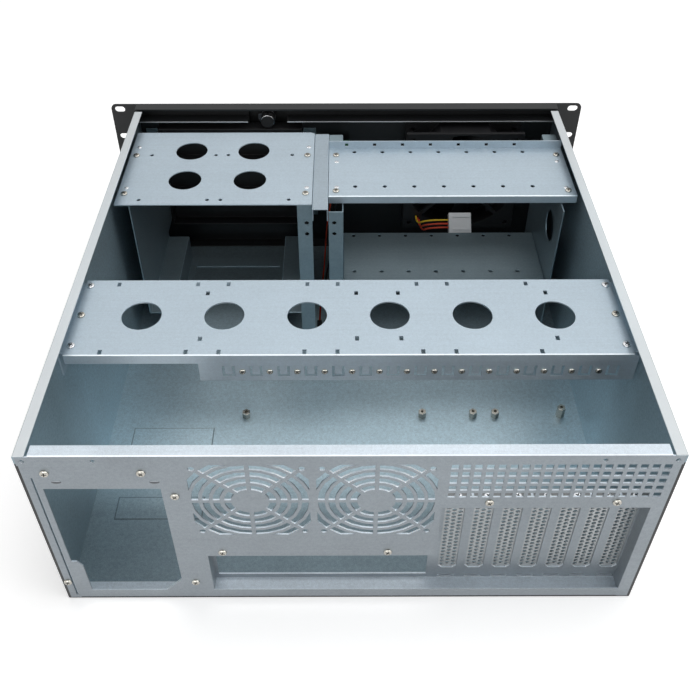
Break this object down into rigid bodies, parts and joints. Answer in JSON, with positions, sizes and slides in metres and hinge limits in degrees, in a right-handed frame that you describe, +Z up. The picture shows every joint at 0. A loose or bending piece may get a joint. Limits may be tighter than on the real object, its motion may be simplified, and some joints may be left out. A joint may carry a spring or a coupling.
{
  "type": "rackmount server case",
  "caption": "Open-topped rackmount server case with a locking front door, drive cages, a crossbar over the mainboard space, a front fan and a perforated rear panel.",
  "frame": {"origin": "middle of the whole case's outline, on the plane it stands on", "axes": "+Y towards the rear face with the card slots, -Y towards the rack ears and door, +Z up, +X to the power supply's side"},
  "size_m": [0.4826, 0.4832, 0.177],
  "materials": {
    "chassis_steel": "zinc plated sheet inside, black painted outside",
    "rear_steel": "satin zinc plate",
    "plated_sheet": "satin zinc plate",
    "cage_steel": "satin zinc plate",
    "black_paint": "fine powder coat",
    "black_plastic": "moulded",
    "passivated_screw": "yellow passivated zinc",
    "dark_screw": "black oxide",
    "lock_chrome": "bright plate",
    "board_green": "solder mask",
    "switch_plastic": "moulded",
    "lamp_lens": "clear lens",
    "connector_white": "moulded nylon",
    "lead_red": "insulated wire",
    "lead_yellow": "insulated wire",
    "lead_black": "insulated wire"
  },
  "bodies": {
    "case": {"tray": "chassis_steel", "rear_panel": "rear_steel", "slot_recess": "rear_steel", "slot_cover_1": "rear_steel", "slot_cover_2": "rear_steel", "slot_cover_3": "rear_steel", "slot_cover_4": "rear_steel", "slot_cover_5": "rear_steel", "slot_cover_6": "rear_steel", "slot_cover_7": "rear_steel", "crossbar": "plated_sheet", "crossbar_bracket_left": "plated_sheet", "crossbar_bracket_right": "plated_sheet", "card_clamp": "plated_sheet", "bay_wall_left": "cage_steel", "bay_wall_right": "cage_steel", "bay_plate": "plated_sheet", "bay_tie": "cage_steel", "disk_wall_left": "cage_steel", "disk_wall_right": "cage_steel", "disk_plate": "plated_sheet", "disk_shelf": "cage_steel", "channel_cover": "plated_sheet", "front_panel": "black_paint", "front_frame": "black_paint", "bay_cover_1": "black_plastic", "bay_cover_2": "black_plastic", "bay_cover_3": "black_plastic", "handle_left": "black_paint", "handle_right": "black_paint", "dust_filter": "black_plastic", "fan_frame": "black_plastic", "hinge_lug_left": "black_paint", "hinge_lug_right": "black_paint", "hinge_pins": "dark_screw", "control_board": "board_green", "board_posts": "switch_plastic", "switches": "switch_plastic", "lamps": "lamp_lens", "fan_plug": "connector_white", "fan_lead_1": "lead_red", "fan_lead_2": "lead_red", "fan_lead_3": "lead_yellow", "panel_lead_1": "lead_black", "panel_lead_2": "lead_red", "lead_housings": "switch_plastic", "rear_screws": "passivated_screw", "cover_screws": "passivated_screw", "bar_screws": "passivated_screw", "clamp_screws": "passivated_screw", "cage_screws": "passivated_screw", "fan_screws": "dark_screw", "handle_screws": "dark_screw", "standoffs": "passivated_screw"},
    "door": {"door": "black_paint"},
    "lock": {"lock_barrel": "lock_chrome", "lock_cam": "lock_chrome"},
    "fan": {"fan_rotor": "black_plastic"},
    "power_button": {"power_button": "black_plastic"},
    "reset_button": {"reset_button": "black_plastic"}
  },
  "joints": [
    {"name": "door_hinge", "type": "hinge", "parent": "case", "child": "door", "pos_m": [0.0805, -0.2066, 0.016], "axis": [1, 0, 0], "range_deg": [0, 90]},
    {"name": "lock_turn", "type": "hinge", "parent": "door", "child": "lock", "pos_m": [0.0805, -0.2, 0.1644], "axis": [0, -1, 0], "range_deg": [0, 90]},
    {"name": "fan_spin", "type": "hinge", "parent": "case", "child": "fan", "pos_m": [-0.1215, -0.188, 0.0975], "axis": [0, 1, 0], "continuous": true},
    {"name": "power_press", "type": "slide", "parent": "case", "child": "power_button", "axis": [0, 1, 0], "range_m": [0, 0.0016], "stiffness_N_per_m": 400},
    {"name": "reset_press", "type": "slide", "parent": "case", "child": "reset_button", "axis": [0, 1, 0], "range_m": [0, 0.0016], "stiffness_N_per_m": 400}
  ]
}
